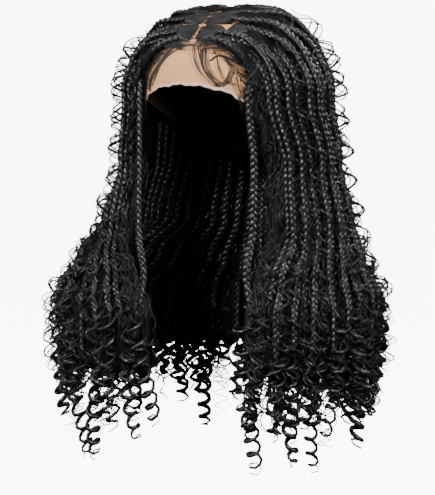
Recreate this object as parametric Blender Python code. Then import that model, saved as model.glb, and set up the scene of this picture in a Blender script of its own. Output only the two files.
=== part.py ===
"""A knotless box-braid wig: a net cap with a sheer front border, six falls of hair that part
over the middle of the cap, box braids that lie on them and spiral ends below the hem.

Metres, +Z up. The origin is the inside top of the cap, where it sits on the head, the face
opening looks towards -Y and the wearer's left is +X.

Each hair piece is placed by three measures: how far round the head it is (0 at the edge of
the face opening, 1 at the middle of the back), how far down (0 at the parting, 1 at the
widest level of the head, 2 at the hem) and how deep it lies outside the cap.
"""
import math

import bpy
import bmesh
from mathutils import Vector

# Head and cap
HEAD_HALF_WIDTH = 0.078
HEAD_HALF_LENGTH = 0.097
DOME_HEIGHT = 0.080
LOWER_DOME_HEIGHT = 0.130
CAP_WALL = 0.0012
NAPE_ANGLE = math.radians(122)
HAIRLINE_SHARE = 0.78
LACE_FRONT_ANGLE = math.radians(83)
LACE_TEMPLE_ANGLE = math.radians(95)
FRONT_COLUMNS = 8
BACK_COLUMNS = 18
CAP_ROWS = 6
LACE_ROWS = 3
FACE_EDGE = math.radians(46)

# Hair
HAIR_LENGTH = 0.357
PART_HALF_WIDTH = 0.002
PART_BACK = 0.038
UNDER_HAIR = 0.0016
HAIR_DEPTH = 0.034
GROOVE_SHARE = 0.16
LOCKS_PER_FALL = 6
LOCK_NOTCH_SHARE = 0.07
HEM_WAVE = 0.009
SMALL_GAP = 0.0003

# Braids and ringlets
BRAID_RADIUS = 0.0047
BRAID_SIDES = 5
BRAID_LIFT = 0.0005
FREE_BRAID_LIFT = 0.0014
FREE_BRAID_STEPS = 3
RINGLET_WIRE = 0.0020
RINGLET_COIL = 0.0070
RINGLET_PITCH = 0.0150
RINGLET_STEPS = 6
RINGLET_SIDES = 4

CAP_HALF_WIDTH = HEAD_HALF_WIDTH + CAP_WALL
CAP_HALF_LENGTH = HEAD_HALF_LENGTH + CAP_WALL
CAP_HEIGHT = DOME_HEIGHT + CAP_WALL

# Outline of the hair's inner face below the widest level of the head.
# drop: share of the way down to the hem
# left, right: half width each side, as a share of the cap's half width
# front, back: reach forwards and backwards, as a share of the cap's half length
# edge_left, edge_right: turn of each front edge from the middle of the face, as a share of
# the face edge angle
LEVELS = (
    dict(drop=0.00, left=1.00, right=1.00, front=1.00, back=1.00, edge_left=1.00, edge_right=1.00),
    dict(drop=0.25, left=1.03, right=1.06, front=0.94, back=0.99, edge_left=1.20, edge_right=1.12),
    dict(drop=0.48, left=1.09, right=1.20, front=0.90, back=0.97, edge_left=1.14, edge_right=1.00),
    dict(drop=0.62, left=1.27, right=1.50, front=0.95, back=1.00, edge_left=0.85, edge_right=0.56),
    dict(drop=0.75, left=1.50, right=1.84, front=1.03, back=1.06, edge_left=0.67, edge_right=0.27),
    dict(drop=1.00, left=1.62, right=1.98, front=1.08, back=1.10, edge_left=0.62, edge_right=0.24),
)

# Depth of the hair outside the cap, as a share of the named depth
DEPTHS = (
    dict(down=0.00, depth=0.06),
    dict(down=0.25, depth=0.11),
    dict(down=0.50, depth=0.17),
    dict(down=0.75, depth=0.29),
    dict(down=1.00, depth=0.47),
    dict(down=1.25, depth=0.74),
    dict(down=1.50, depth=1.00),
    dict(down=1.75, depth=1.00),
    dict(down=2.00, depth=0.70),
)

# The hair is thin at the face opening and a little thinner at the back
THINNING = (
    dict(around=0.00, share=0.36),
    dict(around=0.12, share=0.70),
    dict(around=0.30, share=1.00),
    dict(around=0.70, share=1.00),
    dict(around=1.00, share=0.80),
)

# Levels at which every fall and braid has a section
ROWS = (0.0, 0.2, 0.4, 0.6, 0.8, 1.0, 1.12, 1.25, 1.38, 1.5, 1.62, 1.75, 1.88, 2.0)

FALLS = (
    dict(name="hair_front", start=0.00, end=0.32),
    dict(name="hair_side", start=0.32, end=0.66),
    dict(name="hair_back", start=0.66, end=1.00),
)

# Thickness of a braid along its length, as a share of its radius
BRAID_TAPER = (
    dict(down=0.2, share=0.45),
    dict(down=0.6, share=0.68),
    dict(down=1.0, share=0.92),
    dict(down=1.4, share=1.00),
    dict(down=2.0, share=0.90),
)

# Path of the braid that hangs free beside the face
FREE_BRAID_PATH = (
    dict(down=0.20, around=0.0267),
    dict(down=0.80, around=0.0267),
    dict(down=1.00, around=-0.020),
    dict(down=1.25, around=-0.070),
    dict(down=1.49, around=-0.055),
    dict(down=1.62, around=0.000),
    dict(down=1.75, around=0.050),
    dict(down=2.00, around=0.058),
)

# Box braids on each side: the lock that each one lies on, counted from the face, and its end
BRAIDS = (
    dict(lock=2, end=1.88),
    dict(lock=4, end=1.75),
    dict(lock=6, end=1.88),
    dict(lock=8, end=1.75),
    dict(lock=10, end=1.88),
    dict(lock=12, end=1.75),
    dict(lock=14, end=1.88),
    dict(lock=16, end=1.75),
    dict(lock=17, end=1.88),
)

# Spiral ends: the lock that each one hangs from, its turns and its size
RINGLETS = (
    dict(side="left", lock=1, turns=5.0, size=1.05),
    dict(side="left", lock=3, turns=4.5, size=0.95),
    dict(side="left", lock=5, turns=5.5, size=1.00),
    dict(side="left", lock=7, turns=5.0, size=1.05),
    dict(side="left", lock=9, turns=3.5, size=1.10),
    dict(side="left", lock=13, turns=4.0, size=1.00),
    dict(side="left", lock=17, turns=5.0, size=1.00),
    dict(side="right", lock=1, turns=3.5, size=1.05),
    dict(side="right", lock=3, turns=5.0, size=0.95),
    dict(side="right", lock=5, turns=5.5, size=1.00),
    dict(side="right", lock=7, turns=4.0, size=1.10),
    dict(side="right", lock=9, turns=3.5, size=1.10),
    dict(side="right", lock=13, turns=4.5, size=1.00),
    dict(side="right", lock=16, turns=5.0, size=1.00),
)

SIDES = dict(left=1, right=-1)


def read_table(table, key, column, at):
    """Value of a column at a place in a table, eased between its rows."""
    if at <= table[0][key]:
        return table[0][column]
    for low, high in zip(table, table[1:]):
        if at <= high[key]:
            share = (at - low[key]) / (high[key] - low[key])
            eased = share * share * (3 - 2 * share)
            return low[column] + (high[column] - low[column]) * eased
    return table[-1][column]


def dome_radius(angle):
    """Plan radius share and drop of the cap's outer face at an angle down from the top."""
    height = CAP_HEIGHT if angle <= math.pi / 2 else LOWER_DOME_HEIGHT
    return math.sin(angle), CAP_WALL - CAP_HEIGHT + height * math.cos(angle)


def hair_length(around):
    """Drop from the top of the cap to the hem, a little uneven round the head."""
    return HAIR_LENGTH + HEM_WAVE * math.sin(around * 9.0 + 0.6)


def dome_point(side, around, down):
    """Point and outward direction on the cap, on the line that the hair follows over it."""
    azimuth = FACE_EDGE + around * (math.pi - FACE_EDGE)
    reach = math.sin(down * math.pi / 2)
    part_front = -CAP_HALF_LENGTH * HAIRLINE_SHARE
    root_y = part_front + around * (PART_BACK - part_front)
    x = PART_HALF_WIDTH + (CAP_HALF_WIDTH * math.sin(azimuth) - PART_HALF_WIDTH) * reach
    y = root_y + (-CAP_HALF_LENGTH * math.cos(azimuth) - root_y) * reach
    flat = 1 - (x / CAP_HALF_WIDTH) ** 2 - (y / CAP_HALF_LENGTH) ** 2
    rise = CAP_HEIGHT * math.sqrt(max(flat, 0.0))
    out = Vector((x / CAP_HALF_WIDTH ** 2, y / CAP_HALF_LENGTH ** 2, rise / CAP_HEIGHT ** 2))
    out.normalize()
    point = Vector((x * side, y, CAP_WALL - CAP_HEIGHT + rise))
    return point, Vector((out.x * side, out.y, out.z))


def hanging_point(side, around, down):
    """Point and outward direction on the inner face of the hair that hangs below the cap."""
    drop = down - 1.0
    width_name = "left" if side > 0 else "right"
    half_width = CAP_HALF_WIDTH * read_table(LEVELS, "drop", width_name, drop)
    edge = FACE_EDGE * read_table(LEVELS, "drop", f"edge_{width_name}", drop)
    azimuth = edge + around * (math.pi - edge)
    reach_name = "front" if math.cos(azimuth) > 0 else "back"
    reach = CAP_HALF_LENGTH * read_table(LEVELS, "drop", reach_name, drop)
    widest = CAP_WALL - CAP_HEIGHT
    z = widest - drop * (hair_length(around) + widest)
    out = Vector((side * math.sin(azimuth) / half_width, -math.cos(azimuth) / reach, 0))
    out.normalize()
    point = Vector((side * half_width * math.sin(azimuth), -reach * math.cos(azimuth), z))
    return point, out


def hair_frame(side, around, down):
    """Point on the inner face of the hair and its outward direction."""
    if down < 1.0:
        return dome_point(side, around, down)
    return hanging_point(side, around, down)


def hair_across(side, around, down, out):
    """Direction over the hair's surface towards the back, square to the way the hair runs."""
    step = 0.01
    above = hair_frame(side, around, max(down - step, 0.0))[0]
    below = hair_frame(side, around, down + step)[0]
    return out.cross(below - above).normalized() * side


def hair_depth(around, down):
    """Depth of the top of a lock outside the cap."""
    depth = HAIR_DEPTH * read_table(DEPTHS, "down", "depth", down)
    return depth * read_table(THINNING, "around", "share", around)


def lock_around(lock):
    """How far round the head the middle of a lock is."""
    fall = FALLS[(lock - 1) // LOCKS_PER_FALL]
    place = ((lock - 1) % LOCKS_PER_FALL + 0.5) / LOCKS_PER_FALL
    return fall["start"] + (fall["end"] - fall["start"]) * place


def add_piece(name, vertices, faces, material, smooth=False):
    """One named closed body with its own material, all faces turned outwards."""
    mesh = bpy.data.meshes.new(name)
    mesh.from_pydata(vertices, [], faces)
    work = bmesh.new()
    work.from_mesh(mesh)
    bmesh.ops.triangulate(work, faces=work.faces)
    bmesh.ops.recalc_face_normals(work, faces=work.faces)
    work.to_mesh(mesh)
    work.free()
    for face in mesh.polygons:
        face.use_smooth = smooth
    mesh.materials.append(material)
    piece = bpy.data.objects.new(name, mesh)
    wig.objects.link(piece)
    return piece


def add_wall(name, outer, inner, material, closed):
    """A wall between two grids of points, with rows from top to rim and columns round.

    A closed grid joins its last column to its first. A first row of one point is a pole.
    """
    vertices = []
    index = []
    for grid in (outer, inner):
        rows = []
        for row in grid:
            rows.append(range(len(vertices), len(vertices) + len(row)))
            vertices.extend(row)
        index.append(rows)
    faces = []
    columns = len(outer[-1])
    steps = columns if closed else columns - 1
    for rows in index:
        for upper, lower in zip(rows, rows[1:]):
            for column in range(steps):
                after = (column + 1) % columns
                if len(upper) == 1:
                    faces.append((upper[0], lower[column], lower[after]))
                else:
                    faces.append((upper[column], lower[column], lower[after], upper[after]))
    rims = [-1] if len(outer[0]) == 1 else [0, -1]
    for rim in rims:
        for column in range(steps):
            after = (column + 1) % columns
            top = index[0][rim]
            under = index[1][rim]
            faces.append((top[column], under[column], under[after], top[after]))
    if not closed:
        for end in (0, -1):
            for row in range(len(outer) - 1):
                top = index[0]
                under = index[1]
                faces.append((top[row][end], top[row + 1][end], under[row + 1][end], under[row][end]))
    return add_piece(name, vertices, faces, material, smooth=True)


def add_tube(name, rings, material):
    """A solid tube through rings of points, with a flat face at each end."""
    vertices = []
    for ring in rings:
        vertices.extend(ring)
    count = len(rings[0])
    faces = [tuple(range(count)), tuple(range(len(vertices) - count, len(vertices)))]
    for step in range(len(rings) - 1):
        for corner in range(count):
            after = (corner + 1) % count
            base = step * count
            faces.append((base + corner, base + after, base + count + after, base + count + corner))
    return add_piece(name, vertices, faces, material, smooth=True)


def make_material(name, colour, roughness):
    """A plain surface with its colour and roughness."""
    material = bpy.data.materials.new(name)
    material.use_nodes = True
    surface = material.node_tree.nodes["Principled BSDF"]
    surface.inputs["Base Color"].default_value = (*colour, 1.0)
    surface.inputs["Roughness"].default_value = roughness
    surface.inputs["Metallic"].default_value = 0.0
    material.diffuse_color = (*colour, 1.0)
    return material


def cap_columns():
    """Angles of the cap's columns round from the middle of the face, closer at the front."""
    front = [FACE_EDGE * (2 * step / FRONT_COLUMNS - 1) for step in range(FRONT_COLUMNS)]
    rest = 2 * (math.pi - FACE_EDGE)
    return front + [FACE_EDGE + rest * step / BACK_COLUMNS for step in range(BACK_COLUMNS)]


def rim_angle(azimuth):
    """Angle down from the top of the head to the cap's rim: hairline, ears and nape."""
    turn = abs((azimuth + math.pi) % (2 * math.pi) - math.pi)
    if turn < FACE_EDGE:
        slope = math.tan(turn)
        fall = HAIRLINE_SHARE - math.cos(FACE_EDGE)
        along = HAIRLINE_SHARE * slope / (math.sin(FACE_EDGE) + fall * slope)
        radius = math.hypot(math.sin(FACE_EDGE) * along, HAIRLINE_SHARE - fall * along)
        return math.asin(min(radius, 1.0))
    share = (turn - FACE_EDGE) / (math.pi - FACE_EDGE)
    eased = share * share * (3 - 2 * share)
    return math.pi / 2 + (NAPE_ANGLE - math.pi / 2) * eased


def cap_point(azimuth, angle, inset):
    """Point on the cap at an angle round and an angle down, inside its outer face."""
    radius, z = dome_radius(angle)
    x = (CAP_HALF_WIDTH - inset) * radius * math.sin(azimuth)
    y = -(CAP_HALF_LENGTH - inset) * radius * math.cos(azimuth)
    return (x, y, z - inset * max(math.cos(angle), 0.0))


def build_cap():
    """The net cap, a thin dome open below."""
    columns = cap_columns()
    grids = []
    for inset in (0.0, CAP_WALL):
        grid = [[cap_point(0.0, 0.0, inset)]]
        for row in range(1, CAP_ROWS + 1):
            share = row / CAP_ROWS
            grid.append([cap_point(turn, rim_angle(turn) * share, inset) for turn in columns])
        grids.append(grid)
    add_wall("lace_cap", grids[0], grids[1], net, closed=True)


def build_lace_front():
    """The sheer border between the hairline and the forehead, from temple to temple."""
    turns = [FACE_EDGE * (2 * step / FRONT_COLUMNS - 1) for step in range(FRONT_COLUMNS + 1)]
    clearance = SMALL_GAP / HEAD_HALF_LENGTH
    grids = []
    for inset in (0.0, CAP_WALL):
        grid = []
        for row in range(LACE_ROWS + 1):
            line = []
            for turn in turns:
                top = rim_angle(turn) + clearance
                lower = LACE_TEMPLE_ANGLE - LACE_FRONT_ANGLE
                bottom = LACE_FRONT_ANGLE + lower * (turn / FACE_EDGE) ** 2
                line.append(cap_point(turn, top + (bottom - top) * row / LACE_ROWS, inset))
            grid.append(line)
        grids.append(grid)
    add_wall("lace_front", grids[0], grids[1], lace, closed=False)


def fall_surface(side, fall, layer):
    """Grid of points on the inner face of a fall, layer 0, or over its locks, layer 1."""
    columns = 2 * LOCKS_PER_FALL
    grid = []
    for row in ROWS:
        line = []
        for column in range(columns + 1):
            share = column / columns
            around = fall["start"] + (fall["end"] - fall["start"]) * share
            groove = column % 2 == 0
            down = row
            if groove and row == ROWS[-1]:
                down = row - LOCK_NOTCH_SHARE
            point, out = hair_frame(side, around, down)
            depth = UNDER_HAIR
            if layer:
                top = hair_depth(around, down)
                depth += top * (1 - GROOVE_SHARE) if groove else top
            pull = 0.0
            if column == 0:
                pull = SMALL_GAP * 0.7
            if column == columns:
                pull = -SMALL_GAP * 0.7
            line.append(point + out * depth + hair_across(side, around, down, out) * pull)
        grid.append(line)
    return grid


def build_falls():
    """Six falls of hair from the parting over the cap down to the hem, ribbed into locks."""
    for side_name, side in SIDES.items():
        for fall in FALLS:
            inner = fall_surface(side, fall, 0)
            outer = fall_surface(side, fall, 1)
            add_wall(f"{fall['name']}_{side_name}", outer, inner, hair, closed=False)


def ring_round(centre, out, along, radius, sides):
    """Ring of points round a centre, with one flat turned inwards."""
    across = along.cross(out).normalized()
    ring = []
    for corner in range(sides):
        angle = 2 * math.pi * (corner + 0.5) / sides + math.pi
        ring.append(centre + (out * math.cos(angle) + across * math.sin(angle)) * radius)
    return ring


def braid_rings(side, stations, lift):
    """Rings of a braid that lies over the locks at each (around, down) station."""
    centres = []
    for around, down in stations:
        point, out = hair_frame(side, around, down)
        radius = BRAID_RADIUS * read_table(BRAID_TAPER, "down", "share", down)
        flat = radius * math.cos(math.pi / BRAID_SIDES)
        depth = UNDER_HAIR + hair_depth(max(around, 0.0), down) + SMALL_GAP + flat + lift
        centres.append((point + out * depth, out, radius))
    rings = []
    for step, (centre, out, radius) in enumerate(centres):
        before = centres[max(step - 1, 0)][0]
        after = centres[min(step + 1, len(centres) - 1)][0]
        rings.append(ring_round(centre, out, after - before, radius, BRAID_SIDES))
    return rings


def build_braids():
    """Box braids on the falls, and one on each side that hangs free beside the face."""
    for side_name, side in SIDES.items():
        for braid in BRAIDS:
            around = lock_around(braid["lock"])
            stations = [(around, row) for row in ROWS if ROWS[0] < row <= braid["end"]]
            rings = braid_rings(side, stations, BRAID_LIFT)
            add_tube(f"braid_{side_name}_{braid['lock']:02d}", rings, hair)
        stations = []
        for low, high in zip(ROWS[1:], ROWS[2:]):
            for step in range(FREE_BRAID_STEPS):
                down = low + (high - low) * step / FREE_BRAID_STEPS
                stations.append((read_table(FREE_BRAID_PATH, "down", "around", down), down))
        rings = braid_rings(side, stations, FREE_BRAID_LIFT)
        add_tube(f"front_braid_{side_name}", rings, hair)


def build_ringlets():
    """Spiral ends that hang from the tips of the locks."""
    for ringlet in RINGLETS:
        side = SIDES[ringlet["side"]]
        around = lock_around(ringlet["lock"])
        point, out = hair_frame(side, around, ROWS[-1])
        across = Vector((-out.y, out.x, 0)) * side
        tip = point + out * (UNDER_HAIR + hair_depth(around, ROWS[-1]) / 2)
        coil = RINGLET_COIL * ringlet["size"]
        centres = []
        for step in range(int(ringlet["turns"] * RINGLET_STEPS) + 1):
            angle = 2 * math.pi * step / RINGLET_STEPS
            widen = min(step / RINGLET_STEPS, 1.0)
            drop = 2 * SMALL_GAP + RINGLET_PITCH * step / RINGLET_STEPS
            radial = out * math.cos(angle) + across * math.sin(angle)
            centre = tip + radial * coil * widen - Vector((0, 0, drop))
            centres.append((centre, radial, RINGLET_WIRE * (0.3 + 0.7 * widen)))
        rings = []
        for step, (centre, radial, wire) in enumerate(centres):
            before = centres[max(step - 1, 0)][0]
            after = centres[min(step + 1, len(centres) - 1)][0]
            along = after - before
            if step == 0:
                along = Vector((0, 0, -1))
            level = along.cross(radial).normalized()
            rings.append(ring_round(centre, level.cross(along).normalized(), along, wire, RINGLET_SIDES))
        add_tube(f"ringlet_{ringlet['side']}_{ringlet['lock']:02d}", rings, hair)


for item in list(bpy.data.objects):
    bpy.data.objects.remove(item)

wig = bpy.data.collections.new("braid_wig")
bpy.context.scene.collection.children.link(wig)

hair = make_material("black_hair", (0.012, 0.012, 0.014), 0.42)
net = make_material("cap_net", (0.34, 0.22, 0.15), 0.75)
lace = make_material("sheer_lace", (0.62, 0.47, 0.37), 0.70)

build_cap()
build_lace_front()
build_falls()
build_braids()
build_ringlets()
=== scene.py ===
"""The looks of a knotless box-braid wig: plaited braids, loose curls, spiral ends and lace.

Every strand is placed by the same three measures as the hair falls of the part: how far round
the head it is (0 at the edge of the face opening, 1 at the middle of the back), how far down
(0 at the parting, 1 at the widest level of the head, 2 at the hem) and how deep it lies
outside the cap. Metres, +Z up, the face opening looks towards -Y.
"""

import math

import bmesh
import bpy
import numpy as np
from bpy.props import FloatProperty, FloatVectorProperty, IntProperty, PointerProperty
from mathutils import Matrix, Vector


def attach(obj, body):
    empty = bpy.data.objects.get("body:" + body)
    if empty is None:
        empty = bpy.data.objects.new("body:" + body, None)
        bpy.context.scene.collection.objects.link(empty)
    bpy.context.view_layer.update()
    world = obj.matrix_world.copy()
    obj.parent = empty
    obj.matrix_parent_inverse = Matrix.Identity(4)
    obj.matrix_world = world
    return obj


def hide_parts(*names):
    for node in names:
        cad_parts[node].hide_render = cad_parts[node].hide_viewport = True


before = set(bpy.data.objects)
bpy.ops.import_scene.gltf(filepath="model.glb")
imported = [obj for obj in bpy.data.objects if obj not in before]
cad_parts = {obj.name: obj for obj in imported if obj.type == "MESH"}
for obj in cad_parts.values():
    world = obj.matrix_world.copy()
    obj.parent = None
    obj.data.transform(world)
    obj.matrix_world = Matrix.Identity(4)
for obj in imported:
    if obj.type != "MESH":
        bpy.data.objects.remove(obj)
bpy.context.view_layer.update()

bl_info = {
    "name": "Braid wig",
    "version": (1, 0, 0),
    "blender": (4, 5, 0),
    "location": "3D View > Sidebar > Braid wig",
    "description": "Builds the braids, curls and lace of a knotless box-braid wig",
    "category": "Add Mesh",
}

# Cap, in metres
CAP_HALF_WIDTH = 0.0792
CAP_HALF_LENGTH = 0.0982
CAP_HEIGHT = 0.0812
CAP_WALL = 0.0012
LOWER_DOME_HEIGHT = 0.130
FACE_EDGE = math.radians(46)
HAIRLINE_SHARE = 0.78
NAPE_ANGLE = math.radians(122)
LACE_FRONT_ANGLE = math.radians(83)
LACE_TEMPLE_ANGLE = math.radians(95)

# Hair, in metres
HAIR_LENGTH = 0.357
HAIR_DEPTH = 0.034
UNDER_HAIR = 0.0016
PART_HALF_WIDTH = 0.002
PART_BACK = 0.038
HEM_WAVE = 0.009
DOME_LIFT = 0.006
CROWN_LIFT = 0.007
RINGLET_COIL = 0.0070
RINGLET_PITCH = 0.0150
WIDEST = CAP_WALL - CAP_HEIGHT
FALL_LENGTH = HAIR_LENGTH + WIDEST

# Inner outline of the hanging hair by drop: half widths, reaches and front edges as shares
LEVEL_DROP = (0.00, 0.25, 0.48, 0.62, 0.75, 1.00)
LEVEL_WIDTH = {1: (1.00, 1.03, 1.09, 1.27, 1.50, 1.62), -1: (1.00, 1.06, 1.20, 1.50, 1.84, 1.98)}
LEVEL_EDGE = {1: (1.00, 1.20, 1.14, 0.85, 0.67, 0.62), -1: (1.00, 1.12, 1.00, 0.56, 0.27, 0.24)}
LEVEL_FRONT = (1.00, 0.94, 0.90, 0.95, 1.03, 1.08)
LEVEL_BACK = (1.00, 0.99, 0.97, 1.00, 1.06, 1.10)

# Depth of the hair outside the cap, by how far down and how far round
DEPTH_DOWN = (0.00, 0.25, 0.50, 0.75, 1.00, 1.25, 1.50, 1.75, 2.00)
DEPTH_SHARE = (0.06, 0.11, 0.17, 0.29, 0.47, 0.74, 1.00, 1.00, 0.70)
THIN_AROUND = (0.00, 0.12, 0.30, 0.70, 1.00)
THIN_SHARE = (0.36, 0.70, 1.00, 1.00, 0.80)

# The braid that hangs free beside the face
FREE_DOWN = (0.20, 0.80, 1.00, 1.25, 1.49, 1.62, 1.75, 2.00)
FREE_AROUND = (0.0267, 0.0267, -0.020, -0.085, -0.085, -0.030, 0.030, 0.050)

FALLS = {"front": (0.00, 0.32), "side": (0.32, 0.66), "back": (0.66, 1.00)}
BRAID_NODES = {"front": (2, 4, 6), "side": (8, 10, 12), "back": (14, 16, 17)}
RINGLET_NODES = {
    (1, "front"): (1, 3, 5), (1, "side"): (7, 9), (1, "back"): (13, 17),
    (-1, "front"): (1, 3, 5), (-1, "side"): (7, 9), (-1, "back"): (13, 16),
}
SIDES = {1: "left", -1: "right"}

# Boxes of smooth hair: share down of their first and last edge, and shares round of their sides
BOX_ROWS = (
    (0.012, 0.205, (0.0, 0.18, 0.34, 0.48)),
    (0.235, 0.40, (0.0, 0.13, 0.27, 0.40)),
)
BOX_SHARE = 0.83
NO_BOX = len(BOX_ROWS)

# Where each lock's braid starts: share down, row of boxes, and box in that row
BRAID_ROOTS = {
    1: (0.17, 0, 0), 2: (0.17, 0, 0), 3: (0.34, 1, 0), 4: (0.52, NO_BOX, 0), 5: (0.34, 1, 1),
    6: (0.17, 0, 1), 7: (0.50, NO_BOX, 0), 8: (0.34, 1, 2), 9: (0.17, 0, 2), 10: (0.10, NO_BOX, 0),
    11: (0.26, NO_BOX, 0), 12: (0.06, NO_BOX, 0), 13: (0.06, NO_BOX, 0), 14: (0.24, NO_BOX, 0),
    15: (0.05, NO_BOX, 0), 16: (0.20, NO_BOX, 0), 17: (0.06, NO_BOX, 0), 18: (0.16, NO_BOX, 0),
}

# Longest spiral ends: side, lock, turns and size of the coil
LONG_ENDS = (
    (1, 1, 5.0, 1.05), (1, 3, 4.5, 0.95), (1, 5, 5.5, 1.00), (1, 7, 5.0, 1.05), (1, 9, 3.5, 1.10),
    (1, 13, 4.0, 1.00), (1, 17, 5.0, 1.00), (-1, 1, 3.5, 1.05), (-1, 3, 5.0, 0.95), (-1, 5, 5.5, 1.00),
    (-1, 7, 4.0, 1.10), (-1, 9, 3.5, 1.10), (-1, 13, 4.5, 1.00), (-1, 16, 5.0, 1.00),
)

# Baby hairs on the lace: strands, spread at the root in mm, and points to the left and up in mm
BABY_HAIRS = (
    (15, 5.0, (
        (14, -35), (19, -50), (27, -62), (35, -69), (41, -64), (42, -54), (37, -45), (29, -42), (23, -47),
    )),
    (12, 6.0, ((6, -33), (11, -44), (18, -56), (27, -66), (36, -71), (43, -66))),
    (7, 4.0, ((22, -37), (27, -44), (31, -54), (38, -66), (46, -70))),
    (12, 4.0, ((3, -32), (-10, -32.5), (-23, -36), (-36, -51), (-45, -65), (-47, -76))),
    (9, 5.0, ((-8, -33), (-24, -42), (-36, -56), (-43, -68), (-44, -78))),
    (7, 4.0, ((-22, -37), (-30, -47), (-34, -60), (-40, -72))),
    (9, 4.0, ((46, -62), (49, -74), (53, -84), (57, -89))),
    (8, 3.0, ((-50, -62), (-52, -74), (-54, -84))),
)

# Half thickness of the strands, in metres
LACE_HAIR = 0.00024
HAIRLINE_HAIR = 0.00020
BOX_HAIR = 0.00034
COMB_STROKE = 0.00055
THIN_STROKE = 0.0003
LOOSE_WAVE = 0.00048
FINE_CURL = 0.00046
COARSE_CURL = 0.00068
FLYAWAY_CURL = 0.00055
INNER_CURL = 0.0009
LONG_RIBBON = 0.0024
SHORT_RIBBON = 0.0022
LOOSE_END = 0.0006
FINE_END = 0.00050
UNDER_CURL = 0.00074

# Finishes of the hair: fibres across and along the UV map, depth of the relief, how much
# duller or shinier than the strands it is, and how much darker it is made as painted shade (shade)
HAIR_FINISHES = {
    "hair strands": dict(across=6.0, along=120.0, bump=0.7),
    # painted shade: the falls behind the strands take the strands' colour at half its brightness
    "hair mass": dict(across=170.0, along=16.0, bump=0.9, duller=0.2, shine=0.12, shade=0.5),
    # painted shade: the boxes on the lit top of the head take the strands' colour at 0.6 of its brightness
    "hair boxes": dict(across=34.0, along=1.6, bump=1.0, duller=0.02, shine=0.15, shade=0.6),
}

# Stage: the floor, the white round it, the lights and the camera
FLOOR_REACH = 60.0
FLOOR_LEVEL = -0.75
WHITE_SEEN = 9.0
WHITE_CAST = 0.07
LIGHT_AIM = (0, 0, -0.2)
LIGHTS = (
    ("key", (-0.2, -2.1, 1.1), 0.45, 98),
    ("fill", (1.9, -1.2, 0.3), 0.7, 50),
    ("rim", (-1.8, -0.4, 0.6), 0.6, 22),
    ("back", (0.5, 2.1, 0.8), 0.8, 28),
    ("top", (0.3, 0.2, 1.7), 0.6, 18),
)
CAMERA_TURN = math.radians(26)
CAMERA_RISE = math.radians(6)
CAMERA_DISTANCE = 2.2
CAMERA_LENS = 160
CAMERA_AIM = (-0.0095, -0.2355)


def settings():
    """The user's sizes and colours."""
    return bpy.context.scene.braid_wig


# Shape of the hair


def eased(at, keys, values):
    """Value at a place in a row of keys, eased in and out between each two."""
    keys = np.asarray(keys, float)
    values = np.asarray(values, float)
    at = np.clip(at, keys[0], keys[-1])
    low = np.clip(np.searchsorted(keys, at, side="right") - 1, 0, len(keys) - 2)
    share = (at - keys[low]) / (keys[low + 1] - keys[low])
    return values[low] + (values[low + 1] - values[low]) * share * share * (3 - 2 * share)


def hair_depth(around, down):
    """Depth of the top of the hair outside the cap."""
    return HAIR_DEPTH * eased(down, DEPTH_DOWN, DEPTH_SHARE) * eased(around, THIN_AROUND, THIN_SHARE)


def dome_lift(around, down):
    """How far the braids over the top of the head are raised by the rows under them.

    One rise runs round the middle of the dome and the other lies on its top behind the boxes.
    """
    rows = DOME_LIFT * eased(down, (0.15, 0.55, 0.85, 1.30), (0.0, 1.0, 1.0, 0.0))
    behind = eased(around + 0.6 * np.minimum(down, 0.4), (0.42, 0.75), (0.0, 1.0))
    return rows + CROWN_LIFT * behind * eased(down, (0.0, 0.25, 0.95), (0.8, 1.0, 0.0))


def lock_around(lock):
    """How far round the head the middle of a lock is, with locks counted from the face."""
    lock = np.asarray(lock, float)
    edges = np.array([0.0, 0.32, 0.66, 1.0])
    fall = np.clip((lock - 0.5) // 6, 0, 2).astype(int)
    share = (lock - 0.5 - 6 * fall) / 6
    return edges[fall] + (edges[fall + 1] - edges[fall]) * share


def unit(vectors):
    """Vectors made one long."""
    return vectors / np.maximum(np.linalg.norm(vectors, axis=-1, keepdims=True), 1e-9)


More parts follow.
